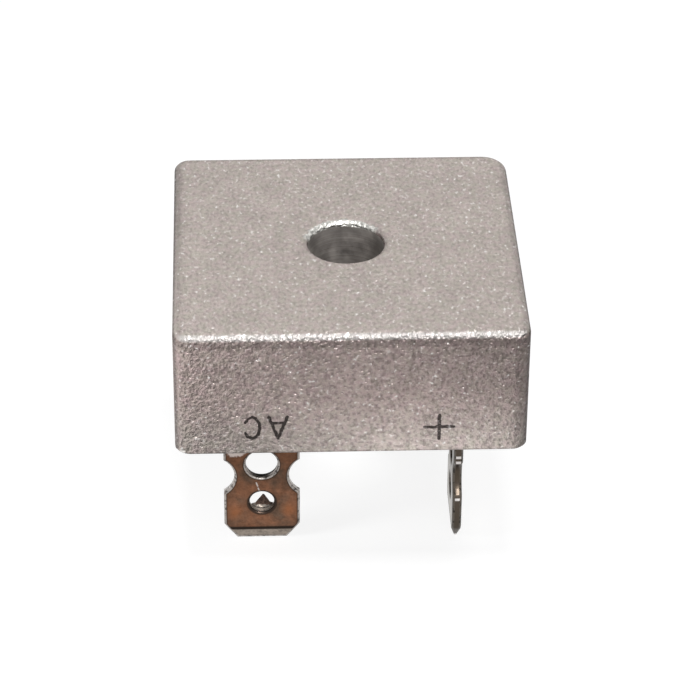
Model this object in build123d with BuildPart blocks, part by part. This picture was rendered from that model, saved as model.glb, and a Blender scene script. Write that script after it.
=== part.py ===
from build123d import *
import os

# Single-phase bridge rectifier in a square metal case with four blade terminals.
# Millimetres. Z is up and the screw hole's axis is the Z axis. The rectifier stands on its blade
# tips at Z = 0 with its mounting face up, and the front side faces -Y.

# Overall sizes
overall_height = 23.45
case_width = 28.6
case_height = 11.3

# Case: a cup with its closed end up, and a hollow post round the screw hole
wall = 1.3
mounting_plate = 1.6
corner_radius = 1.3
worn_corner_radius = 2.1
face_edge_radius = 0.7
inner_corner_radius = 0.8
rim_break = 0.15
screw_hole = 6.3
screw_hole_round = 0.45
post_wall = 0.9
post_recess = 0.3

# Potting: filled to just inside the rim, and drawn up where it wets metal
potting_recess = 0.75
meniscus = 0.4
meniscus_angle = 40

# Stack on the floor of the cup, from the floor outwards
insulator_thickness = 0.63
insulator_wall_gap = 0.7
insulator_post_gap = 0.35
insulator_corner_cut = 0.8
plate_thickness = 1.0
wafer_thickness = 0.15
wafer_width = 4.2
die_thickness = 0.3
die_width = 4.8
die_corner_cut = 0.6
strap_thickness = 0.8
joint_thickness = 0.12
joint_margin = 0.3

# Copper outlines: quarter rings that keep clear of the post and of the case wall
post_clearance = 1.2
wall_clearance = 1.1
plate_arm_overhang = 0.6
strap_arm_overhang = 0.3
copper_corner_radius = 0.6

# Blade terminals: 6.35 mm wide stampings with a bent foot
blade_width = 6.35
blade_thickness = 0.8
foot_post_gap = 1.0
bend_radius = 0.5
tip_cut_width = 1.1
tip_cut_height = 1.5
tip_bevel_depth = 0.25
tip_bevel_height = 1.05
latch_hole = 2.05
latch_hole_height = 3.75
wire_hole = 2.65
wire_hole_height = 7.6
notch_height = 6.4
notch_depth = 0.9
notch_radius = 1.9

# Blade positions: from the cup's wall to the blade's plane, and from the end of the strap's arm to
# the blade's edge
blade_wall_gap = 3.95
blade_arm_gap = 1.375

# Heights and radii worked out from the sizes above
rim_height = overall_height - case_height
floor_height = overall_height - mounting_plate
potting_surface = rim_height + potting_recess
insulator_under = floor_height - insulator_thickness
plate_under = insulator_under - plate_thickness
inner_wafer_under = plate_under - wafer_thickness
die_under = inner_wafer_under - die_thickness
outer_wafer_under = die_under - wafer_thickness
strap_under = outer_wafer_under - strap_thickness
cup_width = case_width - 2 * wall
post_radius = screw_hole / 2 + post_wall
copper_inner_radius = post_radius + post_clearance
copper_reach = cup_width / 2 - wall_clearance
die_distance = (copper_inner_radius + copper_reach) / 2
half_blade = blade_thickness / 2
blade_row_distance = cup_width / 2 - blade_wall_gap
blade_offset = die_width / 2 + strap_arm_overhang + blade_arm_gap + blade_width / 2
foot_end = blade_row_distance - post_radius - foot_post_gap
notch_centre = blade_width / 2 + notch_radius - notch_depth

os.makedirs("parts", exist_ok=True)


def finish_piece(piece, name):
    """Label one finished piece and write it to its own file."""
    piece.label = name
    export_step(piece, f"parts/{name}.step")
    return piece


# The space inside the cup, with rounded corners
with BuildPart() as cup_space:
    with BuildSketch(Plane.XY.offset(rim_height)):
        Rectangle(cup_width, cup_width)
        fillet(vertices(), inner_corner_radius)
    extrude(amount=floor_height - rim_height)

# Aluminium case. The corner behind on the right is more rounded than the other three.
with BuildPart() as case:
    with BuildSketch(Plane.XY.offset(rim_height)):
        Rectangle(case_width, case_width)
    extrude(amount=case_height)
    upright_edges = edges().filter_by(Axis.Z).sort_by(lambda edge: edge.center().X + edge.center().Y)
    fillet(upright_edges[:3], corner_radius)
    worn_edge = edges().filter_by(Axis.Z).sort_by(lambda edge: edge.center().X + edge.center().Y)[-1]
    fillet(worn_edge, worn_corner_radius)
    fillet(faces().sort_by(Axis.Z)[-1].edges(), face_edge_radius)
    chamfer(faces().sort_by(Axis.Z)[0].edges(), rim_break)
    add(cup_space.part, mode=Mode.SUBTRACT)
    with BuildSketch(Plane.XY.offset(rim_height + post_recess)):
        Circle(post_radius)
    extrude(until=Until.NEXT)
    with BuildSketch(Plane.XY.offset(rim_height)):
        Circle(screw_hole / 2)
    extrude(amount=case_height, mode=Mode.SUBTRACT)
    hole_rim = faces().sort_by(Axis.Z)[-1].inner_wires()[0].edges()
    fillet(hole_rim, screw_hole_round)
finish_piece(case.part, "case")

# Alumina insulator on the floor of the cup
with BuildPart() as insulator:
    with BuildSketch(Plane.XY.offset(insulator_under)):
        Rectangle(cup_width - 2 * insulator_wall_gap, cup_width - 2 * insulator_wall_gap)
        chamfer(vertices(), insulator_corner_cut)
        Circle(post_radius + insulator_post_gap, mode=Mode.SUBTRACT)
    extrude(amount=insulator_thickness)
finish_piece(insulator.part, "insulator")


def quarter_ring(name, turn, under, thickness, arm_overhang):
    """Copper piece over one corner of the cup, with an arm to the middle of each side beside it.

    Unturned, it covers the front right corner. Its inner edge follows the post.
    """
    arm_reach = die_width / 2 + arm_overhang
    side = copper_reach + arm_reach
    centre = (copper_reach - arm_reach) / 2
    with BuildPart() as piece:
        with BuildSketch(Plane.XY.offset(under).rotated((0, 0, turn))):
            with Locations((centre, -centre)):
                Rectangle(side, side)
            fillet(vertices(), copper_corner_radius)
            Circle(copper_inner_radius, mode=Mode.SUBTRACT)
        extrude(amount=thickness)
    return finish_piece(piece.part, name)


# Plates on the insulator, positive and negative at opposite corners, and the two AC straps that
# cross over the dice at the other two corners
copper_pieces = [
    quarter_ring("positive_plate", 0, plate_under, plate_thickness, plate_arm_overhang),
    quarter_ring("negative_plate", 180, plate_under, plate_thickness, plate_arm_overhang),
    quarter_ring("front_ac_strap", -90, strap_under, strap_thickness, strap_arm_overhang),
    quarter_ring("back_ac_strap", 90, strap_under, strap_thickness, strap_arm_overhang),
]


def square_wafer(name, place, under, width, thickness, corner_cut):
    """Thin square layer of the stack at one die's place."""
    with BuildPart() as piece:
        with BuildSketch(Plane(origin=(place[0], place[1], under))):
            Rectangle(width, width)
            if corner_cut > 0:
                chamfer(vertices(), corner_cut)
        extrude(amount=thickness)
    return finish_piece(piece.part, name)


# Four dice, one in the middle of each side, each between two solder wafers
die_places = {
    "front": (0, -die_distance),
    "right": (die_distance, 0),
    "back": (0, die_distance),
    "left": (-die_distance, 0),
}
stack_pieces = []
for side_name, place in die_places.items():
    stack_pieces += [
        square_wafer(f"{side_name}_inner_solder", place, inner_wafer_under, wafer_width, wafer_thickness, 0),
        square_wafer(f"{side_name}_die", place, die_under, die_width, die_thickness, die_corner_cut),
        square_wafer(f"{side_name}_outer_solder", place, outer_wafer_under, wafer_width, wafer_thickness, 0),
    ]

# Blade terminals: name, centre of the blade in plan, direction of its foot, and the surface that
# the foot is soldered to. Only the positive blade is turned a quarter turn.
blade_places = [
    ("front_ac", (-blade_offset, -blade_row_distance), (0, 1, 0), strap_under),
    ("positive", (blade_row_distance, -blade_offset), (-1, 0, 0), plate_under),
    ("back_ac", (blade_offset, blade_row_distance), (0, -1, 0), strap_under),
    ("negative", (-blade_offset, blade_row_distance), (0, -1, 0), plate_under),
]


def blade_planes(place, inward):
    """The plane of a blade's side view and the plane of its broad face, both standing at Z = 0."""
    across = Vector(inward).cross(Vector(0, 0, 1))
    side_view = Plane(origin=(place[0], place[1], 0), x_dir=inward, z_dir=across)
    broad_face = Plane(origin=(place[0], place[1], 0), x_dir=across, z_dir=-Vector(inward))
    return side_view, broad_face


def blade(name, place, inward, soldered_to):
    """One stamped terminal: bevelled tip down, side notches and holes, and its foot bent inwards."""
    side_view, broad_face = blade_planes(place, inward)
    seat = soldered_to - joint_thickness
    with BuildPart() as piece:
        with BuildSketch(side_view):
            with BuildLine():
                outside = FilletPolyline(
                    (-half_blade, tip_bevel_height),
                    (-half_blade, seat),
                    (foot_end, seat),
                    radius=bend_radius + blade_thickness,
                )
                inside = FilletPolyline(
                    (foot_end, seat - blade_thickness),
                    (half_blade, seat - blade_thickness),
                    (half_blade, tip_bevel_height),
                    radius=bend_radius,
                )
                Line(outside @ 1, inside @ 0)
                Polyline(
                    inside @ 1,
                    (half_blade - tip_bevel_depth, 0),
                    (tip_bevel_depth - half_blade, 0),
                    outside @ 0,
                )
            make_face()
        extrude(amount=blade_width / 2, both=True)
        with BuildSketch(broad_face):
            with Locations((0, latch_hole_height)):
                Circle(latch_hole / 2)
            with Locations((0, wire_hole_height)):
                Circle(wire_hole / 2)
            with Locations((-notch_centre, notch_height), (notch_centre, notch_height)):
                Circle(notch_radius)
            with BuildLine():
                Polyline(
                    (blade_width / 2 - tip_cut_width, 0),
                    (blade_width / 2, 0),
                    (blade_width / 2, tip_cut_height),
                    close=True,
                )
            make_face()
            with BuildLine():
                Polyline(
                    (tip_cut_width - blade_width / 2, 0),
                    (-blade_width / 2, 0),
                    (-blade_width / 2, tip_cut_height),
                    close=True,
                )
            make_face()
        extrude(amount=blade_thickness, both=True, mode=Mode.SUBTRACT)
    return finish_piece(piece.part, name)


def foot_joint(name, place, inward, soldered_to):
    """Solder between the flat of a blade's foot and the copper that it stands on."""
    side_view, _ = blade_planes(place, inward)
    seat = soldered_to - joint_thickness
    flat_start = bend_radius + blade_thickness - half_blade
    with BuildPart() as piece:
        with BuildSketch(side_view):
            with BuildLine():
                Polyline(
                    (flat_start, seat),
                    (foot_end, seat),
                    (foot_end, soldered_to),
                    (flat_start, soldered_to),
                    close=True,
                )
            make_face()
        extrude(amount=blade_width / 2 - joint_margin, both=True)
    return finish_piece(piece.part, name)


blades = []
for blade_name, place, inward, soldered_to in blade_places:
    blades.append(blade(f"{blade_name}_blade", place, inward, soldered_to))
    stack_pieces.append(foot_joint(f"{blade_name}_foot_solder", place, inward, soldered_to))

# Epoxy potting: fills the cup round the post and every piece inside. The resin climbs a little
# wherever it wets metal: up the wall of the cup, the post and each blade.
surface_plane = Plane(origin=(0, 0, potting_surface), z_dir=(0, 0, -1))
with BuildPart() as potting:
    with BuildSketch(surface_plane):
        Rectangle(cup_width, cup_width)
    extrude(amount=meniscus)
    with BuildSketch(surface_plane):
        Rectangle(cup_width - 2 * meniscus, cup_width - 2 * meniscus)
        fillet(vertices(), inner_corner_radius)
    extrude(amount=meniscus, taper=-meniscus_angle, mode=Mode.SUBTRACT)
    with BuildSketch(surface_plane):
        Circle(post_radius + meniscus)
    extrude(amount=meniscus, taper=meniscus_angle)
    for blade_name, place, inward, soldered_to in blade_places:
        with BuildSketch(Plane(origin=(place[0], place[1], potting_surface), x_dir=inward, z_dir=(0, 0, -1))):
            Rectangle(blade_thickness + 2 * meniscus, blade_width + 2 * meniscus)
        extrude(amount=meniscus, taper=meniscus_angle)
    with BuildSketch(surface_plane):
        Rectangle(cup_width, cup_width)
    extrude(amount=potting_surface - floor_height)
    add(cup_space.part, mode=Mode.INTERSECT)
    with BuildSketch(Plane.XY.offset(rim_height)):
        Circle(post_radius)
    extrude(amount=case_height, mode=Mode.SUBTRACT)
    for inner_piece in [insulator.part] + copper_pieces + stack_pieces + blades:
        add(inner_piece, mode=Mode.SUBTRACT)
finish_piece(potting.part, "potting")
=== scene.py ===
import bmesh
import bpy
import math
from mathutils import Matrix, Vector


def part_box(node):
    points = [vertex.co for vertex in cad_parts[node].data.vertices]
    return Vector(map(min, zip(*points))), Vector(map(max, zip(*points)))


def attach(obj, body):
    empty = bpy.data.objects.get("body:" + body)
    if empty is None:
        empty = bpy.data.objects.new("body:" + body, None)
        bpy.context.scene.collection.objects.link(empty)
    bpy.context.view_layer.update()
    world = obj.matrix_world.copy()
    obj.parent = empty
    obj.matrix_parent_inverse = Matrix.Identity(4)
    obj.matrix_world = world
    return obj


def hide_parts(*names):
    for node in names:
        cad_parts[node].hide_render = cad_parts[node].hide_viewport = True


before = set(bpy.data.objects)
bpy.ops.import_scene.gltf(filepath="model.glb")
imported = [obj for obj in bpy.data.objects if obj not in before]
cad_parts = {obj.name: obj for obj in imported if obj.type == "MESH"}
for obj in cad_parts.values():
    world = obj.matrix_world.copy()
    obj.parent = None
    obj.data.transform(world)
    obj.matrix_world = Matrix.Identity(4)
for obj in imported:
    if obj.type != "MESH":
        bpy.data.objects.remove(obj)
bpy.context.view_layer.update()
mm = 0.001

# Case
# An aluminium cup with its closed end up as the mounting face, cast in one piece and blasted all
# over. Its outer edges are rolled, and a hollow post in the middle carries the screw hole.
case_low, case_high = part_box("case")
potting_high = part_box("potting")[1]
case_half = case_high.x / mm
cup_half = potting_high.x / mm
rim_height = case_low.z / mm
face_height = case_high.z / mm
cup_floor_height = potting_high.z / mm
corner_radii = (2.1, 1.3, 1.3, 1.3)
cup_corner_radii = (0.8, 0.8, 0.8, 0.8)
face_edge_radius = 0.7
rim_break = 0.15
cup_break = 0.05
screw_hole_radius = 3.15
screw_hole_round = 0.45
screw_hole_break = 0.08
post_radius = 4.05
post_recess = 0.3
post_break = 0.05
side_steps = 22
corner_steps = 8
wall_steps = 6
edge_steps = 8
face_steps = 8
hole_steps = 6
floor_steps = 3


def rounded_square(half, radii, height):
    """Ring of points round a square, in millimetres. The radii start with the corner behind on the right."""
    ring = []
    for quarter in range(4):
        before = radii[quarter - 1]
        radius = radii[quarter]
        turn = Matrix.Rotation(math.radians(90 * quarter), 3, "Z")
        start = math.atan2(before - half, half)
        end = math.atan2(half - radius, half)
        for step in range(side_steps):
            along = half * math.tan(start + (end - start) * step / side_steps)
            ring.append(turn @ Vector((half, along, height)))
        for step in range(corner_steps):
            angle = math.radians(90 * step / corner_steps)
            x = half - radius + radius * math.cos(angle)
            y = half - radius + radius * math.sin(angle)
            ring.append(turn @ Vector((x, y, height)))
    return ring


def circle(radius, height):
    """Ring of points round the screw hole's axis, in step with the rings round the case."""
    ring = []
    for point in rounded_square(case_half, corner_radii, height):
        angle = math.atan2(point.y, point.x)
        ring.append(Vector((radius * math.cos(angle), radius * math.sin(angle), height)))
    return ring


def between(first, last, steps):
    """Rings that pass evenly from one ring to another, without either of them."""
    return [[a.lerp(b, step / steps) for a, b in zip(first, last)] for step in range(1, steps)]


def mesh_piece(name, points, faces, material):
    """Mesh object from points in millimetres."""
    mesh = bpy.data.meshes.new(name)
    mesh.from_pydata([point * mm for point in points], [], faces)
    mesh.materials.append(material)
    piece = bpy.data.objects.new(name, mesh)
    bpy.context.scene.collection.objects.link(piece)
    return piece


def put(tree, kind, sockets=None, **settings):
    """Add one node. Each socket gets a plain value or a link from another node's output."""
    node = tree.nodes.new(kind)
    for setting, value in settings.items():
        setattr(node, setting, value)
    for socket, value in (sockets or {}).items():
        if isinstance(value, bpy.types.NodeSocket):
            tree.links.new(value, node.inputs[socket])
        else:
            node.inputs[socket].default_value = value
    return node


def math_node(tree, operation, *values):
    """Output of one Math node."""
    return put(tree, "ShaderNodeMath", dict(enumerate(values)), operation=operation).outputs[0]


def ramp(tree, value, low, high, to_low=0.0, to_high=1.0):
    """Value carried from one range to another, held at its ends."""
    sockets = {"Value": value, "From Min": low, "From Max": high, "To Min": to_low, "To Max": to_high}
    return put(tree, "ShaderNodeMapRange", sockets).outputs[0]


def mix_colour(tree, amount, under, over):
    """Colour that passes from one to another by an amount."""
    node = put(tree, "ShaderNodeMix", {0: amount}, data_type="RGBA")
    for socket, value in ((node.inputs[6], under), (node.inputs[7], over)):
        if isinstance(value, bpy.types.NodeSocket):
            tree.links.new(value, socket)
        else:
            socket.default_value = (*value, 1.0)
    return node.outputs[2]


def blend(tree, amount, under, over):
    """Value that passes from one to another by an amount."""
    return put(tree, "ShaderNodeMix", {0: amount, 2: under, 3: over}).outputs[0]


def vector_node(tree, operation, first, second, output=0):
    """Output of one Vector Math node."""
    return put(tree, "ShaderNodeVectorMath", {0: first, 1: second}, operation=operation).outputs[output]


def scale_colour(tree, colour, factor):
    """Colour made lighter or darker by a factor."""
    return put(tree, "ShaderNodeVectorMath", {0: colour, "Scale": factor}, operation="SCALE").outputs[0]


def tone(tree, colour, mask, factor):
    """Colour made lighter or darker by a factor where a mask is one."""
    return scale_colour(tree, colour, ramp(tree, mask, 0.0, 1.0, 1.0, factor))


def both(tree, first, second):
    """Product of two values, such as the share where two masks meet."""
    return math_node(tree, "MULTIPLY", first, second)


def spot(tree, place, centre, inner, outer):
    """Mask that is one within the inner distance of a point and none beyond the outer distance."""
    return ramp(tree, vector_node(tree, "DISTANCE", place, centre, "Value"), outer, inner)


def noise(tree, place, scale, detail, **sockets):
    """Value of a noise texture, with its scale in waves to the millimetre."""
    sockets = {"Vector": place, "Scale": scale, "Detail": detail, **sockets}
    return put(tree, "ShaderNodeTexNoise", sockets).outputs[0]


def new_group(name, inputs, outputs):
    """Empty node group with named sockets, and its input and output nodes."""
    group = bpy.data.node_groups.new(name, "ShaderNodeTree")
    for socket_name, kind, value in inputs:
        socket = group.interface.new_socket(name=socket_name, in_out="INPUT", socket_type=kind)
        if value is not None:
            socket.default_value = value
    for socket_name, kind in outputs:
        group.interface.new_socket(name=socket_name, in_out="OUTPUT", socket_type=kind)
    return group, group.nodes.new("NodeGroupInput"), group.nodes.new("NodeGroupOutput")


def new_material(name):
    """Material with a Principled BSDF, and a vector that runs in millimetres in the row frame."""
    material = bpy.data.materials.new(name)
    material.use_nodes = True
    tree = material.node_tree
    place = tree.nodes.new("ShaderNodeTexCoord").outputs["Object"]
    place = put(tree, "ShaderNodeVectorMath", {0: place, "Scale": 1 / mm}, operation="SCALE").outputs[0]
    return material, tree, tree.nodes["Principled BSDF"], place


# Grain of a blasted or cast surface, in millimetres: crowded small craters, bright facets and pits
grain_group, grain_in, grain_out = new_group(
    "blasted grain",
    [("Place", "NodeSocketVector", None), ("Grain Width", "NodeSocketFloat", 0.2)],
    [(output, "NodeSocketFloat") for output in ("Height", "Facets", "Pits", "Mottle")],
)
grain_scale = math_node(grain_group, "DIVIDE", 1.0, grain_in.outputs["Grain Width"])
grain_place = grain_in.outputs["Place"]
craters = noise(grain_group, grain_place, grain_scale, 1.0, Roughness=0.45)
shifted = vector_node(grain_group, "ADD", grain_place, (31.0, 17.0, 5.0))
facets = noise(grain_group, shifted, math_node(grain_group, "MULTIPLY", grain_scale, 0.9), 1.0)
clusters = noise(grain_group, shifted, 0.45, 3.0, Roughness=0.6)
grain_group.links.new(craters, grain_out.inputs["Height"])
grain_group.links.new(ramp(grain_group, facets, 0.56, 0.84), grain_out.inputs["Facets"])
grain_group.links.new(ramp(grain_group, craters, 0.56, 0.28), grain_out.inputs["Pits"])
grain_group.links.new(clusters, grain_out.inputs["Mottle"])

# One pen stroke of print: ink within half its width of the line from start to end
stroke_group, stroke_in, stroke_out = new_group(
    "print stroke",
    [
        ("Place", "NodeSocketVector", None),
        ("Start", "NodeSocketVector", (0.0, 0.0, 0.0)),
        ("Stroke", "NodeSocketVector", (1.0, 0.0, 0.0)),
        ("Half Width", "NodeSocketFloat", 0.1),
    ],
    [("Ink", "NodeSocketFloat")],
)
stroke = stroke_in.outputs["Stroke"]
from_start = vector_node(stroke_group, "SUBTRACT", stroke_in.outputs["Place"], stroke_in.outputs["Start"])
along = vector_node(stroke_group, "DOT_PRODUCT", from_start, stroke, "Value")
whole = vector_node(stroke_group, "DOT_PRODUCT", stroke, stroke, "Value")
share = put(stroke_group, "ShaderNodeMath", {0: along, 1: whole}, operation="DIVIDE", use_clamp=True).outputs[0]
nearest = scale_colour(stroke_group, stroke, share)
gap = vector_node(stroke_group, "DISTANCE", from_start, nearest, "Value")
inside = math_node(stroke_group, "SUBTRACT", stroke_in.outputs["Half Width"], gap)
stroke_group.links.new(ramp(stroke_group, inside, -0.03, 0.03), stroke_out.inputs["Ink"])

# Print on the front of the case, upside down: AC over the left blade and a plus over the right one
print_corner = Vector((-5.2, 0.0, 15.77))
plus_centre = Vector((7.08, 0.0, 14.55))
plus_arm = 1.15
letter_height = 2.1
letter_width = 1.5
bar_height = 0.62
bar_inset = bar_height / letter_height * letter_width / 2
c_middle = 2.83
c_width = 1.24
c_opening = 28
c_strokes = 10
letter_stroke = 0.13
plus_stroke = 0.15
letter_a = [
    ((0.0, 0.0), (letter_width / 2, letter_height)),
    ((letter_width / 2, letter_height), (letter_width, 0.0)),
    ((bar_inset, bar_height), (letter_width - bar_inset, bar_height)),
]
c_turn = 360 - 2 * c_opening
c_angles = [math.radians(c_opening + c_turn * step / c_strokes) for step in range(c_strokes + 1)]
c_points = [(c_middle + c_width / 2 * math.cos(a), letter_height / 2 * (1 + math.sin(a))) for a in c_angles]
letter_c = list(zip(c_points, c_points[1:]))
strokes = []
for start, end in letter_a + letter_c:
    start = print_corner - Vector((start[0], 0.0, start[1]))
    end = print_corner - Vector((end[0], 0.0, end[1]))
    strokes.append((start, end, letter_stroke))
for arm in (Vector((plus_arm, 0.0, 0.0)), Vector((0.0, 0.0, plus_arm))):
    strokes.append((plus_centre - arm, plus_centre + arm, plus_stroke))

# Blasted skin: two tones of grey metal, bright facets and dark pits
blast_grain_width = 0.27
pink_metal = (0.515, 0.435, 0.415)
green_metal = (0.482, 0.44, 0.39)
facet_metal = (0.70, 0.65, 0.62)
blasted, tree, shader, place = new_material("blasted aluminium")
position = put(tree, "ShaderNodeSeparateXYZ", {0: place})
normal = put(tree, "ShaderNodeNewGeometry").outputs["Normal"]
normal = put(tree, "ShaderNodeSeparateXYZ", {0: normal})
height = position.outputs["Z"]
upwards = normal.outputs["Z"]
sideways = math_node(tree, "ABSOLUTE", normal.outputs["X"])
grain_sockets = {"Place": vector_node(tree, "MULTIPLY", place, (1.0, 0.65, 1.0)), "Grain Width": blast_grain_width}
face_grain = put(tree, "ShaderNodeGroup", grain_sockets, node_tree=grain_group)
grain_sockets["Place"] = place
side_grain = put(tree, "ShaderNodeGroup", grain_sockets, node_tree=grain_group)
on_side = ramp(tree, sideways, 0.6, 0.8)
craters, facets, pits = (
    blend(tree, on_side, face_grain.outputs[output], side_grain.outputs[output])
    for output in ("Height", "Facets", "Pits")
)
colour = mix_colour(tree, ramp(tree, noise(tree, place, 1.4, 2.0), 0.36, 0.64), pink_metal, green_metal)
colour = scale_colour(tree, colour, ramp(tree, pits, 0.0, 1.0, 1.02, 0.78))
colour = mix_colour(tree, facets, colour, facet_metal)
colour = scale_colour(tree, colour, ramp(tree, face_grain.outputs["Mottle"], 0.3, 0.7, 0.92, 1.07))

# The walls have deeper pits, a warmer cast higher up and painted shade along the rim
rim_shade = ramp(tree, height, rim_height + rim_break + 0.12, rim_height + 0.1)
colour = tone(tree, colour, rim_shade, 0.42)
on_wall = ramp(tree, upwards, 0.6, 0.3)
warm_colour = vector_node(tree, "MULTIPLY", colour, (1.04, 0.96, 0.975))
warm_share = both(tree, on_wall, ramp(tree, height, 13.5, 18.0, 0.2, 1.15))
colour = mix_colour(tree, warm_share, colour, warm_colour)
colour = tone(tree, colour, both(tree, on_wall, pits), 0.8)
# Painted light from below: the walls are lighter towards the rim
colour = tone(tree, colour, both(tree, on_wall, ramp(tree, height, 18.8, 16.0)), 1.08)
on_front = math_node(tree, "LESS_THAN", position.outputs["Y"], 0.05 - case_half)
# Painted shade: the upper right of the front is darker
shaded_right_front = both(tree, ramp(tree, position.outputs["X"], 2.0, 11.0), ramp(tree, height, 13.0, 18.0))
colour = tone(tree, colour, both(tree, shaded_right_front, on_front), 0.82)
# Painted shade: a dark band just beneath the rolled edge
below_roll = math_node(tree, "SUBTRACT", height, face_height - face_edge_radius - 0.1)
colour = tone(tree, colour, ramp(tree, math_node(tree, "ABSOLUTE", below_roll), 0.45, 0.2), 0.76)

# Painted shade on the side rolls, along the side edges and on the left and back margins of the face; the front
# edge is rubbed and carries a painted highlight, and one corner has a painted highlight
rubbed_highlight_metal = (0.49, 0.475, 0.465)
highlight_and_facet_metal = (0.80, 0.77, 0.74)
highlight_corner = (-13.75, -14.25, 12.35)
on_face = ramp(tree, upwards, 0.0, 0.5)
upright_roll = both(tree, sideways, math_node(tree, "ABSOLUTE", normal.outputs["Y"]))
shaded_side_roll = math_node(tree, "MAXIMUM", both(tree, sideways, upwards), upright_roll)
colour = tone(tree, colour, ramp(tree, shaded_side_roll, 0.02, 0.3), 0.78)
shaded_side_line = both(tree, ramp(tree, sideways, 0.68, 0.88), ramp(tree, sideways, 0.999, 0.99))
colour = tone(tree, colour, shaded_side_line, 0.42)
shaded_left_margin = ramp(tree, position.outputs["X"], 1.2 - case_half, 0.2 - case_half)
colour = tone(tree, colour, both(tree, on_face, shaded_left_margin), 0.84)
shaded_back_margin = ramp(tree, position.outputs["Y"], case_half - 0.85, case_half - 0.55)
colour = tone(tree, colour, both(tree, on_face, shaded_back_margin), 0.68)
# Wear and painted highlight: the front edge is lighter and whiter along its roll
rubbed_and_highlit_edge = ramp(tree, both(tree, normal.outputs["Y"], upwards), -0.24, -0.44)
colour = mix_colour(tree, math_node(tree, "MULTIPLY", rubbed_and_highlit_edge, 0.7), colour, rubbed_highlight_metal)
# Painted highlight on the lower front left corner; the brightest facets take the same colour
corner_highlight_and_facets = math_node(tree, "ADD", spot(tree, place, highlight_corner, 0.0, 0.75), facets)
colour = mix_colour(tree, ramp(tree, corner_highlight_and_facets, 0.5, 0.75), colour, highlight_and_facet_metal)

# The ink follows its strokes with a little wander and is thin on the bright facets
ink_colour = (0.035, 0.028, 0.025)
ink_wander = (0.22, 0.0, 0.22)
wander = put(tree, "ShaderNodeTexNoise", {"Vector": place, "Scale": 2.5, "Detail": 2.0}).outputs["Color"]
wander = vector_node(tree, "SUBTRACT", wander, (0.5, 0.5, 0.5))
wander = vector_node(tree, "MULTIPLY", wander, ink_wander)
on_print = vector_node(tree, "ADD", vector_node(tree, "MULTIPLY", place, (1.0, 0.0, 1.0)), wander)
ink = 0.0
for start, end, half_width in strokes:
    sockets = {"Place": on_print, "Start": start, "Stroke": end - start, "Half Width": half_width}
    stroke = put(tree, "ShaderNodeGroup", sockets, node_tree=stroke_group).outputs["Ink"]
    ink = math_node(tree, "MAXIMUM", ink, stroke)
ink = both(tree, both(tree, ink, on_front), ramp(tree, facets, 0.0, 0.8, 0.95, 0.62))
colour = mix_colour(tree, ink, colour, ink_colour)

# Painted highlight: the edge of the hole is bright along its back
rim_highlight_metal = (0.74, 0.73, 0.69)
hole_reach = screw_hole_radius + screw_hole_round
from_axis = vector_node(tree, "MULTIPLY", place, (1.0, 1.0, 0.0))
reach = vector_node(tree, "DISTANCE", from_axis, (0.0, 0.0, 0.0), "Value")
reach = math_node(tree, "ADD", reach, ramp(tree, craters, 0.3, 0.7, -0.15, 0.15))
reach = math_node(tree, "ADD", reach, ramp(tree, position.outputs["X"], 0.3, 2.6, 0.0, 0.16))
back_side = vector_node(tree, "DOT_PRODUCT", from_axis, (-0.22, 0.975, 0.0), "Value")
painted_rim_highlight = both(tree, ramp(tree, reach, hole_reach, hole_reach - 0.08), ramp(tree, back_side, 1.1, 1.6))
rim_highlight_colour = scale_colour(tree, rim_highlight_metal, ramp(tree, craters, 0.3, 0.7, 0.45, 1.15))
colour = mix_colour(tree, painted_rim_highlight, colour, rim_highlight_colour)
tree.links.new(colour, shader.inputs["Base Color"])

# Facets and the painted highlight on the hole's edge shine as bare metal, and the ink doesn't
bare = both(tree, facets, ramp(tree, on_wall, 0.0, 1.0, 0.8, 0.45))
metallic = both(tree, ramp(tree, bare, 0.0, 0.7, 0.16, 0.6), ramp(tree, ink, 0.0, 1.0, 1.0, 0.0))
metallic = math_node(tree, "MAXIMUM", metallic, math_node(tree, "MULTIPLY", painted_rim_highlight, 0.35))
tree.links.new(metallic, shader.inputs["Metallic"])
shader.inputs["Specular IOR Level"].default_value = 0.1
tree.links.new(ramp(tree, facets, 0.0, 1.0, 0.44, 0.32), shader.inputs["Roughness"])
relief = math_node(tree, "MULTIPLY", craters, ramp(tree, upwards, 0.3, 0.7, 1.6, 1.0))
relief = math_node(tree, "MULTIPLY", relief, ramp(tree, rubbed_and_highlit_edge, 0.0, 1.0, 1.0, 0.7))
bumps = put(tree, "ShaderNodeBump", {"Height": relief, "Strength": 0.9, "Distance": 0.2 * mm})
tree.links.new(bumps.outputs[0], shader.inputs["Normal"])

# The wall of the screw hole is drilled, not blasted, with fine rings from the drill; its darker colour is partly
# painted shade in the bore
drilled, tree, shader, place = new_material("drilled aluminium")
depth = put(tree, "ShaderNodeSeparateXYZ", {0: place}).outputs["Z"]
marks = {"W": depth, "Scale": 9.0, "Detail": 4.0}
marks = put(tree, "ShaderNodeTexNoise", marks, noise_dimensions="1D").outputs[0]
cloud = noise(tree, place, 0.9, 4.0)
colour = mix_colour(tree, ramp(tree, cloud, 0.35, 0.65), (0.27, 0.25, 0.235), (0.40, 0.37, 0.345))
colour = scale_colour(tree, colour, ramp(tree, marks, 0.3, 0.7, 0.85, 1.15))
tree.links.new(colour, shader.inputs["Base Color"])
shader.inputs["Metallic"].default_value = 0.5
tree.links.new(ramp(tree, cloud, 0.3, 0.7, 0.45, 0.65), shader.inputs["Roughness"])
bumps = put(tree, "ShaderNodeBump", {"Height": marks, "Strength": 0.4, "Distance": 0.03 * mm})
tree.links.new(bumps.outputs[0], shader.inputs["Normal"])

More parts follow.
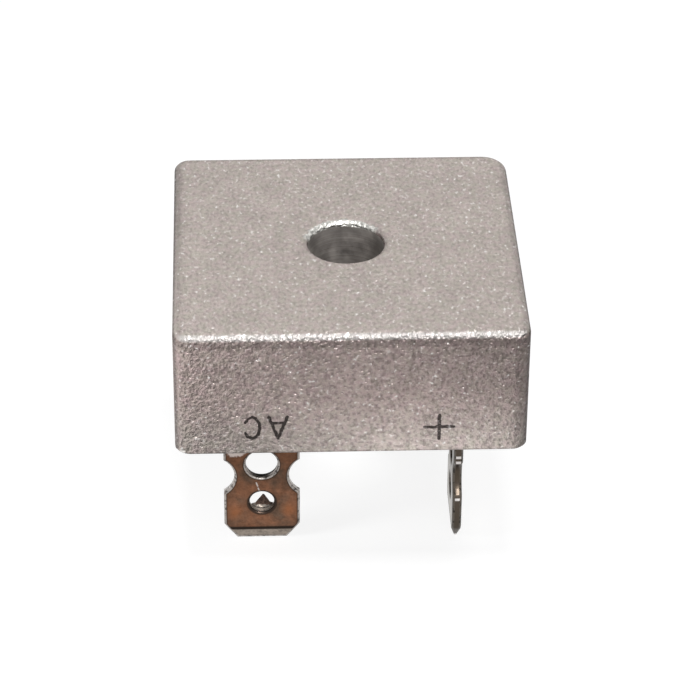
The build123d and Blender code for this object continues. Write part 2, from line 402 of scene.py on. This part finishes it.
# The section runs from the cup's floor over the rim and the face, down the hole and round the post
rim_half = case_half - rim_break
rim_radii = [radius - rim_break for radius in corner_radii]
rings = [
    rounded_square(cup_half, cup_corner_radii, cup_floor_height),
    rounded_square(cup_half, cup_corner_radii, rim_height + cup_break),
    rounded_square(cup_half + cup_break, cup_corner_radii, rim_height),
    rounded_square(rim_half, rim_radii, rim_height),
]
lower_wall = rounded_square(case_half, corner_radii, rim_height + rim_break)
upper_wall = rounded_square(case_half, corner_radii, face_height - face_edge_radius)
rings += [lower_wall] + between(lower_wall, upper_wall, wall_steps)
for step in range(edge_steps + 1):
    angle = math.radians(90 * step / edge_steps)
    inset = face_edge_radius * (1 - math.cos(angle))
    radii = [radius - inset for radius in corner_radii]
    rise = face_edge_radius * (math.sin(angle) - 1)
    rings.append(rounded_square(case_half - inset, radii, face_height + rise))
hole_rim = circle(screw_hole_radius + screw_hole_round, face_height)
rings += between(rings[-1], hole_rim, face_steps)
for step in range(hole_steps + 1):
    angle = math.radians(90 * step / hole_steps)
    radius = screw_hole_radius + screw_hole_round * (1 - math.sin(angle))
    rings.append(circle(radius, face_height - screw_hole_round * (1 - math.cos(angle))))
bore_top = len(rings) - 1
post_end = rim_height + post_recess
rings.append(circle(screw_hole_radius, post_end + screw_hole_break))
bore_end = len(rings) - 1
rings.append(circle(screw_hole_radius + screw_hole_break, post_end))
rings.append(circle(post_radius - post_break, post_end))
rings.append(circle(post_radius, post_end + post_break))
rings.append(circle(post_radius, cup_floor_height))
rings += between(rings[-1], rings[0], floor_steps)

ring_size = len(rings[0])
case_points = [point for ring in rings for point in ring]
case_faces = []
drilled_faces = []
for ring in range(len(rings)):
    following = (ring + 1) % len(rings)
    for point in range(ring_size):
        beside = (point + 1) % ring_size
        if bore_top <= ring < bore_end:
            drilled_faces.append(len(case_faces))
        corners = ((ring, point), (ring, beside), (following, beside), (following, point))
        case_faces.append([row * ring_size + column for row, column in corners])
case = mesh_piece("blasted_case", case_points, case_faces, blasted)
case.data.materials.append(drilled)
case.data.shade_smooth()
case.data.set_sharp_from_angle(angle=math.radians(40))
for face in drilled_faces:
    case.data.polygons[face].material_index = 1
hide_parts("case")
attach(case, "root")

# Stack on the cup's floor
# A fired alumina insulator, two copper plates and two copper straps shaped as quarter rings, and
# four square dice between solder wafers. The potting hides them all.
alumina, tree, shader, place = new_material("alumina")
fired = noise(tree, place, 6.0, 5.0)
colour = mix_colour(tree, ramp(tree, fired, 0.35, 0.65), (0.80, 0.79, 0.75), (0.88, 0.87, 0.84))
tree.links.new(colour, shader.inputs["Base Color"])
tree.links.new(ramp(tree, fired, 0.3, 0.7, 0.45, 0.6), shader.inputs["Roughness"])

copper, tree, shader, place = new_material("copper")
rolled = noise(tree, vector_node(tree, "MULTIPLY", place, (0.6, 9.0, 9.0)), 1.0, 4.0)
colour = mix_colour(tree, ramp(tree, rolled, 0.3, 0.7), (0.62, 0.31, 0.19), (0.78, 0.45, 0.30))
tree.links.new(colour, shader.inputs["Base Color"])
shader.inputs["Metallic"].default_value = 1.0
tree.links.new(ramp(tree, rolled, 0.3, 0.7, 0.28, 0.42), shader.inputs["Roughness"])

silicon, tree, shader, place = new_material("silicon")
lapped = noise(tree, place, 20.0, 3.0)
colour = mix_colour(tree, lapped, (0.08, 0.09, 0.11), (0.13, 0.14, 0.16))
tree.links.new(colour, shader.inputs["Base Color"])
shader.inputs["Metallic"].default_value = 0.6
tree.links.new(ramp(tree, lapped, 0.3, 0.7, 0.18, 0.3), shader.inputs["Roughness"])

solder, tree, shader, place = new_material("solder")
frozen = put(tree, "ShaderNodeTexVoronoi", {"Vector": place, "Scale": 3.0}).outputs["Color"]
frozen = put(tree, "ShaderNodeSeparateColor", {0: frozen}).outputs[0]
colour = mix_colour(tree, frozen, (0.48, 0.48, 0.49), (0.60, 0.60, 0.60))
tree.links.new(colour, shader.inputs["Base Color"])
shader.inputs["Metallic"].default_value = 1.0
tree.links.new(ramp(tree, frozen, 0.0, 1.0, 0.35, 0.5), shader.inputs["Roughness"])

finishes = {"insulator": alumina}
for copper_piece in ("positive_plate", "negative_plate", "front_ac_strap", "back_ac_strap"):
    finishes[copper_piece] = copper
for side in ("front", "right", "back", "left"):
    finishes[f"{side}_die"] = silicon
    finishes[f"{side}_inner_solder"] = solder
    finishes[f"{side}_outer_solder"] = solder
for terminal in ("front_ac", "positive", "back_ac", "negative"):
    finishes[f"{terminal}_foot_solder"] = solder
for node_name, finish in finishes.items():
    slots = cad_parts[node_name].data.materials
    slots.clear()
    slots.append(finish)

# Blades
# Stampings of thin tinned brass. The tip is bevelled to enter a receptacle, a small hole latches
# into it, a larger hole and two side notches take a soldered wire. The foot bends inwards.
blade_width = 6.35
blade_thickness = 0.8
edge_roll = 0.28
tip_cut_width = 1.1
tip_cut_height = 1.5
tip_bevel_depth = 0.25
tip_bevel_height = 1.05
latch_hole_radius = 1.025
latch_hole_height = 3.75
wire_hole_radius = 1.325
wire_hole_height = 7.6
notch_height = 6.4
notch_depth = 0.9
notch_radius = 1.9
splice_height = rim_height + 1.2
splice_overlap = 0.3
front_blade_x = -7.25
front_blade_y = -9.05
front_blade_face = -9.45
bare_tin = (0.62, 0.59, 0.57)
brown_tarnish_and_reflection = (0.118, 0.073, 0.05)
red_tarnish_and_reflection = (0.205, 0.096, 0.055)
orange_tarnish = (0.36, 0.13, 0.05)
tip_tarnish = (0.26, 0.22, 0.185)
edge_tarnish = (0.075, 0.06, 0.05)
latch_hole_grey = (0.40, 0.37, 0.34)
latch_lip_shade = (0.035, 0.025, 0.02)
case_smear = (0.44, 0.38, 0.35)
painted_shade_line = (0.025, 0.018, 0.014)
orange_patches = ((-9.58, front_blade_face, 2.73), (-5.05, front_blade_face, 3.06))
smear_centre = (-9.4, front_blade_face, 9.4)
scratches = (
    ((-7.71, front_blade_face, 5.79), (-7.60, front_blade_face, 5.45)),
    ((-7.56, front_blade_face, 5.25), (-7.45, front_blade_face, 4.93)),
)


def tinned_brass(name, flat_axis, face_tones, edge_tone, lip_tone, highlight_heights):
    """Tin on brass: two tones on the broad faces, partly tarnish and partly painted reflection, with cut edges and
    lips in tones of their own.
    """
    material, tree, shader, place = new_material(name)
    position = put(tree, "ShaderNodeSeparateXYZ", {0: place})
    depth = position.outputs["Y"]
    height = position.outputs["Z"]
    normal = put(tree, "ShaderNodeNewGeometry").outputs["Normal"]
    normal = put(tree, "ShaderNodeSeparateXYZ", {0: normal})
    flatness = math_node(tree, "ABSOLUTE", normal.outputs[flat_axis])
    cloud = noise(tree, place, 0.5, 3.0, Roughness=0.55)
    stain = noise(tree, place, 2.6, 5.0, Roughness=0.7)

    # Broad faces, with orange patches and scratches
    face = mix_colour(tree, ramp(tree, cloud, 0.38, 0.60), *face_tones)
    face = scale_colour(tree, face, ramp(tree, stain, 0.3, 0.7, 0.70, 1.30))
    # Painted shade: the faces darken towards the case above
    face = scale_colour(tree, face, ramp(tree, height, 3.0, 8.0, 1.05, 0.67))
    for centre in orange_patches:
        patch = math_node(tree, "MULTIPLY", spot(tree, place, centre, 0.1, 0.9), 0.5)
        face = mix_colour(tree, patch, face, orange_tarnish)
    for start, end in scratches:
        sockets = {"Place": place, "Start": start, "Stroke": Vector(end) - Vector(start), "Half Width": 0.05}
        scratch = put(tree, "ShaderNodeGroup", sockets, node_tree=stroke_group).outputs["Ink"]
        face = mix_colour(tree, math_node(tree, "MULTIPLY", scratch, 0.7), face, bare_tin)

    # Bevelled tip, with dark lines of painted shade at the crease above it and where the face rolls over
    tip = ramp(tree, height, tip_bevel_height + 0.03, tip_bevel_height - 0.03)
    tip_tone = scale_colour(tree, tip_tarnish, ramp(tree, stain, 0.3, 0.7, 0.6, 1.4))
    tip_tone = scale_colour(tree, tip_tone, ramp(tree, height, 0.1, 0.4, 0.5, 1.0))
    face = mix_colour(tree, tip, face, tip_tone)
    crease = math_node(tree, "ABSOLUTE", math_node(tree, "SUBTRACT", height, tip_bevel_height + 0.08))
    face = mix_colour(tree, ramp(tree, crease, 0.2, 0.1), face, painted_shade_line)
    above_tip = ramp(tree, tip, 0.0, 1.0, 0.75, 0.0)
    line = both(tree, ramp(tree, flatness, 0.9995, 0.985), above_tip)
    face = mix_colour(tree, line, face, painted_shade_line)

    # Cut edges with painted highlights at given heights, and the walls of the holes
    wall = mix_colour(tree, ramp(tree, stain, 0.38, 0.54), edge_tarnish, edge_tone)
    for highlight_level in highlight_heights:
        highlight_gap = math_node(tree, "ABSOLUTE", math_node(tree, "SUBTRACT", height, highlight_level))
        wall = mix_colour(tree, ramp(tree, highlight_gap, 0.16, 0.08), wall, bare_tin)
    # Painted shade in the back of the wire hole's wall
    wire_hole = (front_blade_x, front_blade_y, wire_hole_height)
    in_wire_hole = spot(tree, place, wire_hole, wire_hole_radius + 0.25, wire_hole_radius + 0.45)
    wire_wall = mix_colour(tree, ramp(tree, depth, -9.18, -9.08), lip_tone, painted_shade_line)
    wall = mix_colour(tree, in_wire_hole, wall, wire_wall)
    latch_hole = (front_blade_x, front_blade_y, latch_hole_height)
    in_latch_hole = spot(tree, place, latch_hole, latch_hole_radius + 0.25, latch_hole_radius + 0.45)
    wall = mix_colour(tree, in_latch_hole, wall, latch_hole_grey)

    # Lips between face and edge, with painted shade on the small hole's lip, and metal smeared from the case
    lip = scale_colour(tree, lip_tone, ramp(tree, stain, 0.40, 0.50, 0.18, 1.0))
    lip = mix_colour(tree, in_latch_hole, lip, latch_lip_shade)
    lip = mix_colour(tree, ramp(tree, flatness, 0.40, 0.25), lip, wall)
    colour = mix_colour(tree, ramp(tree, flatness, 0.96, 0.90), face, lip)
    ragged = math_node(tree, "MULTIPLY", stain, 0.6)
    smear = math_node(tree, "ADD", spot(tree, place, smear_centre, 0.0, 1.55), ragged)
    colour = mix_colour(tree, ramp(tree, smear, 0.62, 0.74), colour, case_smear)
    tree.links.new(colour, shader.inputs["Base Color"])
    shader.inputs["Metallic"].default_value = 1.0
    tree.links.new(ramp(tree, stain, 0.3, 0.7, 0.30, 0.48), shader.inputs["Roughness"])
    bumps = put(tree, "ShaderNodeBump", {"Height": stain, "Strength": 0.4, "Distance": 0.05 * mm})
    tree.links.new(bumps.outputs[0], shader.inputs["Normal"])
    return material


def arc(centre, radius, start, end, steps):
    """Points along an arc, with its angles in degrees."""
    angles = [math.radians(start + (end - start) * step / steps) for step in range(steps + 1)]
    return [(centre[0] + radius * math.cos(a), centre[1] + radius * math.sin(a)) for a in angles]


def blade_outline():
    """Outline of the broad face from the splice down one side to the tip and up the other."""
    half = blade_width / 2
    notch_centre = half + notch_radius - notch_depth
    reach = math.degrees(math.acos((notch_centre - half) / notch_radius))
    right = [(half, splice_height)]
    right += arc((notch_centre, notch_height), notch_radius, 180 - reach, 180 + reach, 16)
    right += [(half, tip_cut_height), (half - tip_cut_width, 0.0)]
    left = [(-x, y) for x, y in reversed(right)]
    return right + left


def stamped_blade(node_name, across, material):
    """One blade: the part below the splice is stamped here, and its foot comes from the CAD node."""
    curve = bpy.data.curves.new(node_name + "_outline", "CURVE")
    curve.dimensions = "2D"
    curve.fill_mode = "BOTH"
    outlines = [blade_outline()]
    outlines.append(arc((0.0, latch_hole_height), latch_hole_radius, 0, 350, 35))
    outlines.append(arc((0.0, wire_hole_height), wire_hole_radius, 0, 350, 35))
    for outline in outlines:
        spline = curve.splines.new("POLY")
        spline.points.add(len(outline) - 1)
        for point, (x, y) in zip(spline.points, outline):
            point.co = (x * mm, y * mm, 0.0, 1.0)
        spline.use_cyclic_u = True
    curve.extrude = (blade_thickness / 2 - edge_roll) * mm
    curve.bevel_depth = edge_roll * mm
    curve.bevel_resolution = 3
    curve.offset = -edge_roll * mm
    pattern = bpy.data.objects.new(node_name + "_outline", curve)
    mesh = bpy.data.meshes.new_from_object(pattern)
    bpy.data.objects.remove(pattern)

    shape = bmesh.new()
    shape.from_mesh(mesh)
    bmesh.ops.remove_doubles(shape, verts=shape.verts, dist=0.002 * mm)
    everything = shape.verts[:] + shape.edges[:] + shape.faces[:]
    bevel_line = Vector((0.0, tip_bevel_height * mm, 0.0))
    bmesh.ops.bisect_plane(shape, geom=everything, plane_co=bevel_line, plane_no=(0.0, 1.0, 0.0))
    half = blade_thickness / 2
    for vertex in shape.verts:
        below = max(0.0, 1 - vertex.co.y / (tip_bevel_height * mm))
        vertex.co.z *= 1 - below * tip_bevel_depth / half

    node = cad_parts[node_name]
    low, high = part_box(node_name)
    up = Vector((0.0, 0.0, 1.0))
    outwards = across.cross(up)
    middle = (low + high) / 2
    outer_face = max(abs(corner.dot(outwards)) for corner in (low, high))
    sideways = middle.dot(across)
    centre = across * sideways + outwards * (outer_face - half * mm)
    stand = Matrix((across, up, outwards)).transposed().to_4x4()
    bmesh.ops.transform(shape, matrix=Matrix.Translation(centre) @ stand, verts=shape.verts)

    foot = bmesh.new()
    foot.from_mesh(node.data)
    bmesh.ops.remove_doubles(foot, verts=foot.verts, dist=0.001 * mm)
    everything = foot.verts[:] + foot.edges[:] + foot.faces[:]
    splice = Vector((0.0, 0.0, (splice_height - splice_overlap) * mm))
    bmesh.ops.bisect_plane(foot, geom=everything, plane_co=splice, plane_no=(0.0, 0.0, 1.0), clear_inner=True)
    foot_mesh = bpy.data.meshes.new(node_name + "_foot")
    foot.to_mesh(foot_mesh)
    foot.free()
    shape.from_mesh(foot_mesh)
    bmesh.ops.recalc_face_normals(shape, faces=shape.faces)
    stamped = bpy.data.meshes.new(node_name + "_stamped")
    shape.to_mesh(stamped)
    shape.free()
    stamped.materials.clear()
    stamped.materials.append(material)
    stamped.shade_smooth()
    stamped.set_sharp_from_angle(angle=math.radians(35))
    piece = bpy.data.objects.new(node_name + "_stamped", stamped)
    bpy.context.scene.collection.objects.link(piece)
    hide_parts(node_name)
    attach(piece, "root")


# The flat blades' brown faces and silver edges are partly tarnish and partly painted reflection
flat_terminal = tinned_brass(
    "tinned brass",
    flat_axis="Y",
    face_tones=(brown_tarnish_and_reflection, red_tarnish_and_reflection),
    edge_tone=bare_tin,
    lip_tone=(0.40, 0.365, 0.34),
    highlight_heights=(),
)
# The turned blade's copy has grey faces and dark edges set by which way it is turned: painted reflection
turned_terminal = tinned_brass(
    "tinned brass turned",
    flat_axis="X",
    face_tones=((0.38, 0.36, 0.33), (0.50, 0.48, 0.45)),
    edge_tone=(0.075, 0.06, 0.045),
    lip_tone=(0.11, 0.095, 0.08),
    highlight_heights=(8.70, 8.19, 4.41, 0.15),
)
right = Vector((1.0, 0.0, 0.0))
back = Vector((0.0, 1.0, 0.0))
stamped_blade("front_ac_blade", right, flat_terminal)
stamped_blade("positive_blade", back, turned_terminal)
stamped_blade("back_ac_blade", -right, flat_terminal)
stamped_blade("negative_blade", -right, flat_terminal)

# The punch left a thin chip in the front blade's small hole, level with its rear face; the dark chip also stands
# in for shade seen through the hole
chip_thickness = 0.1
chip_corners = (
    (-8.05, 2.9),
    (-8.1, 3.12),
    (-7.78, 3.22),
    (-7.16, 4.08),
    (-7.06, 4.04),
    (-6.58, 3.26),
    (-6.36, 3.2),
    (-6.36, 2.9),
    (-6.9, 2.5),
    (-7.6, 2.5),
)
chip_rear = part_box("front_ac_blade")[0].y / mm + blade_thickness
dark_chip, tree, shader, place = new_material("dark chip")
position = put(tree, "ShaderNodeSeparateXYZ", {0: place})
stain = noise(tree, place, 5.0, 4.0)
colour = mix_colour(tree, ramp(tree, stain, 0.35, 0.65), (0.03, 0.02, 0.017), (0.11, 0.075, 0.06))
bent_root = math_node(tree, "ADD", position.outputs["Z"], ramp(tree, stain, 0.3, 0.7, -0.1, 0.1))
colour = mix_colour(tree, ramp(tree, bent_root, 3.08, 3.0), colour, latch_hole_grey)
worn_wing = ramp(tree, position.outputs["X"], -7.72, -7.85, 0.0, 0.6)
colour = mix_colour(tree, worn_wing, colour, latch_hole_grey)
tree.links.new(colour, shader.inputs["Base Color"])
shader.inputs["Metallic"].default_value = 1.0
tree.links.new(ramp(tree, stain, 0.3, 0.7, 0.35, 0.55), shader.inputs["Roughness"])
bumps = put(tree, "ShaderNodeBump", {"Height": stain, "Strength": 0.4, "Distance": 0.05 * mm})
tree.links.new(bumps.outputs[0], shader.inputs["Normal"])

curve = bpy.data.curves.new("chip_outline", "CURVE")
curve.dimensions = "2D"
curve.fill_mode = "BOTH"
spline = curve.splines.new("POLY")
spline.points.add(len(chip_corners) - 1)
for point, (x, z) in zip(spline.points, chip_corners):
    point.co = (x * mm, z * mm, 0.0, 1.0)
spline.use_cyclic_u = True
curve.extrude = chip_thickness / 4 * mm
curve.bevel_depth = chip_thickness / 4 * mm
curve.bevel_resolution = 1
pattern = bpy.data.objects.new("chip_outline", curve)
mesh = bpy.data.meshes.new_from_object(pattern)
bpy.data.objects.remove(pattern)
set_back = Matrix.Translation((0.0, (chip_rear - chip_thickness / 2) * mm, 0.0))
mesh.transform(set_back @ Matrix.Rotation(math.radians(90), 4, "X"))
mesh.materials.clear()
mesh.materials.append(dark_chip)
punch_chip_and_shade = bpy.data.objects.new("punch_chip_and_shade", mesh)
bpy.context.scene.collection.objects.link(punch_chip_and_shade)
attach(punch_chip_and_shade, "root")

# Potting
# Dark filled epoxy, cast into the cup until it stands just inside the rim. It is drawn up a little
# where it wets the wall, the post and the blades, and is smooth with a few small bubbles.
epoxy, tree, shader, place = new_material("potting epoxy")
grain = put(tree, "ShaderNodeGroup", {"Place": place, "Grain Width": 0.12}, node_tree=grain_group)
colour = mix_colour(tree, grain.outputs["Facets"], (0.035, 0.035, 0.037), (0.06, 0.06, 0.062))
colour = scale_colour(tree, colour, ramp(tree, grain.outputs["Mottle"], 0.3, 0.7, 0.8, 1.2))
tree.links.new(colour, shader.inputs["Base Color"])
bubbles = put(tree, "ShaderNodeTexVoronoi", {"Vector": place, "Scale": 0.7}).outputs["Distance"]
bubbles = ramp(tree, bubbles, 0.10, 0.2, -1.0, 0.0)
tree.links.new(ramp(tree, grain.outputs["Mottle"], 0.3, 0.7, 0.34, 0.5), shader.inputs["Roughness"])
sunk = put(tree, "ShaderNodeBump", {"Height": bubbles, "Strength": 0.6, "Distance": 0.08 * mm})
wavy = {"Height": grain.outputs["Mottle"], "Strength": 0.5, "Distance": 0.15 * mm, "Normal": sunk.outputs[0]}
bumps = put(tree, "ShaderNodeBump", wavy)
tree.links.new(bumps.outputs[0], shader.inputs["Normal"])
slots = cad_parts["potting"].data.materials
slots.clear()
slots.append(epoxy)

# Floor
# A wide plain pale floor. It shows as white to the camera and in reflections, and keeps the
# rectifier's soft shadow.
floor_half = 1.5
floor_grey = (0.22, 0.22, 0.22, 1.0)
floor_glow = 0.87
white = (1.0, 1.0, 1.0, 1.0)


def seen_white(tree):
    """Mask of the rays that show a surface as it looks, not as it lights the object."""
    path = tree.nodes.new("ShaderNodeLightPath")
    seen = math_node(tree, "MAXIMUM", path.outputs["Is Camera Ray"], path.outputs["Is Glossy Ray"])
    return math_node(tree, "MAXIMUM", seen, path.outputs["Is Transmission Ray"])


floor_paint = bpy.data.materials.new("floor")
floor_paint.use_nodes = True
tree = floor_paint.node_tree
shader = tree.nodes["Principled BSDF"]
shader.inputs["Base Color"].default_value = floor_grey
shader.inputs["Roughness"].default_value = 0.9
shader.inputs["Specular IOR Level"].default_value = 0.0
shader.inputs["Emission Color"].default_value = white
glow = math_node(tree, "MULTIPLY", seen_white(tree), floor_glow)
tree.links.new(glow, shader.inputs["Emission Strength"])
corners = [Vector((x, y, 0.0)) * floor_half / mm for x, y in ((-1, -1), (1, -1), (1, 1), (-1, 1))]
floor = mesh_piece("floor", corners, [(0, 1, 2, 3)], floor_paint)

# Light
# A white surround that is dimmer as light on the object than as it looks. Soft keys stand above and
# at the right, one more lights the glossy edges alone, and two weak fills are low on the left and in front.
surround_strength = 0.12
case_middle = Vector((0.0, 0.0, 18.0))
world = bpy.data.worlds.new("studio")
world.use_nodes = True
bpy.context.scene.world = world
tree = world.node_tree
background = tree.nodes["Background"]
background.inputs["Color"].default_value = white
strength = ramp(tree, seen_white(tree), 0.0, 1.0, surround_strength, 1.0)
tree.links.new(strength, background.inputs["Strength"])


def soft_lamp(name, place, aim, size, power):
    """Square area lamp, placed and aimed in millimetres, that the camera doesn't see."""
    light = bpy.data.lights.new(name, "AREA")
    light.size = size * mm
    light.energy = power
    lamp = bpy.data.objects.new(name, light)
    lamp.location = place * mm
    lamp.rotation_euler = (place - aim).to_track_quat("Z", "Y").to_euler()
    lamp.visible_camera = False
    bpy.context.scene.collection.objects.link(lamp)
    return lamp


def away(azimuth, elevation, distance):
    """Point round the case. The azimuth is in degrees from the front towards the right."""
    turn = math.radians(azimuth)
    tilt = math.radians(elevation)
    flat = Vector((math.sin(turn), -math.cos(turn), 0.0)) * math.cos(tilt)
    return case_middle + (flat + Vector((0.0, 0.0, math.sin(tilt)))) * distance


soft_lamp("key", away(5, 82, 600), case_middle, 150, 1.8)
soft_lamp("side_key", away(110, 66, 600), case_middle, 150, 0.9)
edge_key = soft_lamp("edge_key", away(20, 52, 600), case_middle, 150, 6.5)
edge_key.visible_diffuse = False
left_fill = soft_lamp("left_fill", Vector((-38.0, -21.0, 25.0)), Vector((-12.0, -14.3, 17.0)), 10, 0.009)
low_fill = soft_lamp("low_fill", Vector((6.5, -19.5, 6.0)), Vector((6.5, -14.3, 13.0)), 14, 0.0017)
for lamp in (left_fill, low_fill):
    lamp.visible_glossy = False

# Camera
# The photograph's view: a long lens from in front and above, turned and rolled very slightly.
camera_data = bpy.data.cameras.new("camera")
camera_data.sensor_width = 36.0
camera_data.lens = 164.36
camera_data.clip_start = 0.01
camera = bpy.data.objects.new("camera", camera_data)
view_turn = 0.0433
view_down = 0.5819
view_roll = 0.0088
face_centre = Vector((0.0, 0.0, face_height * mm))
face_in_view = Vector((-0.3374, 8.985, -264.8296)) * mm
turned = Matrix.Rotation(-view_turn, 3, "Z")
tilted = Matrix.Rotation(math.pi / 2 - view_down, 3, "X")
axes = turned @ tilted @ Matrix.Rotation(view_roll, 3, "Z")
camera.matrix_world = Matrix.Translation(face_centre - axes @ face_in_view) @ axes.to_4x4()
bpy.context.scene.collection.objects.link(camera)
bpy.context.scene.camera = camera
bpy.context.scene.view_settings.view_transform = "Standard"
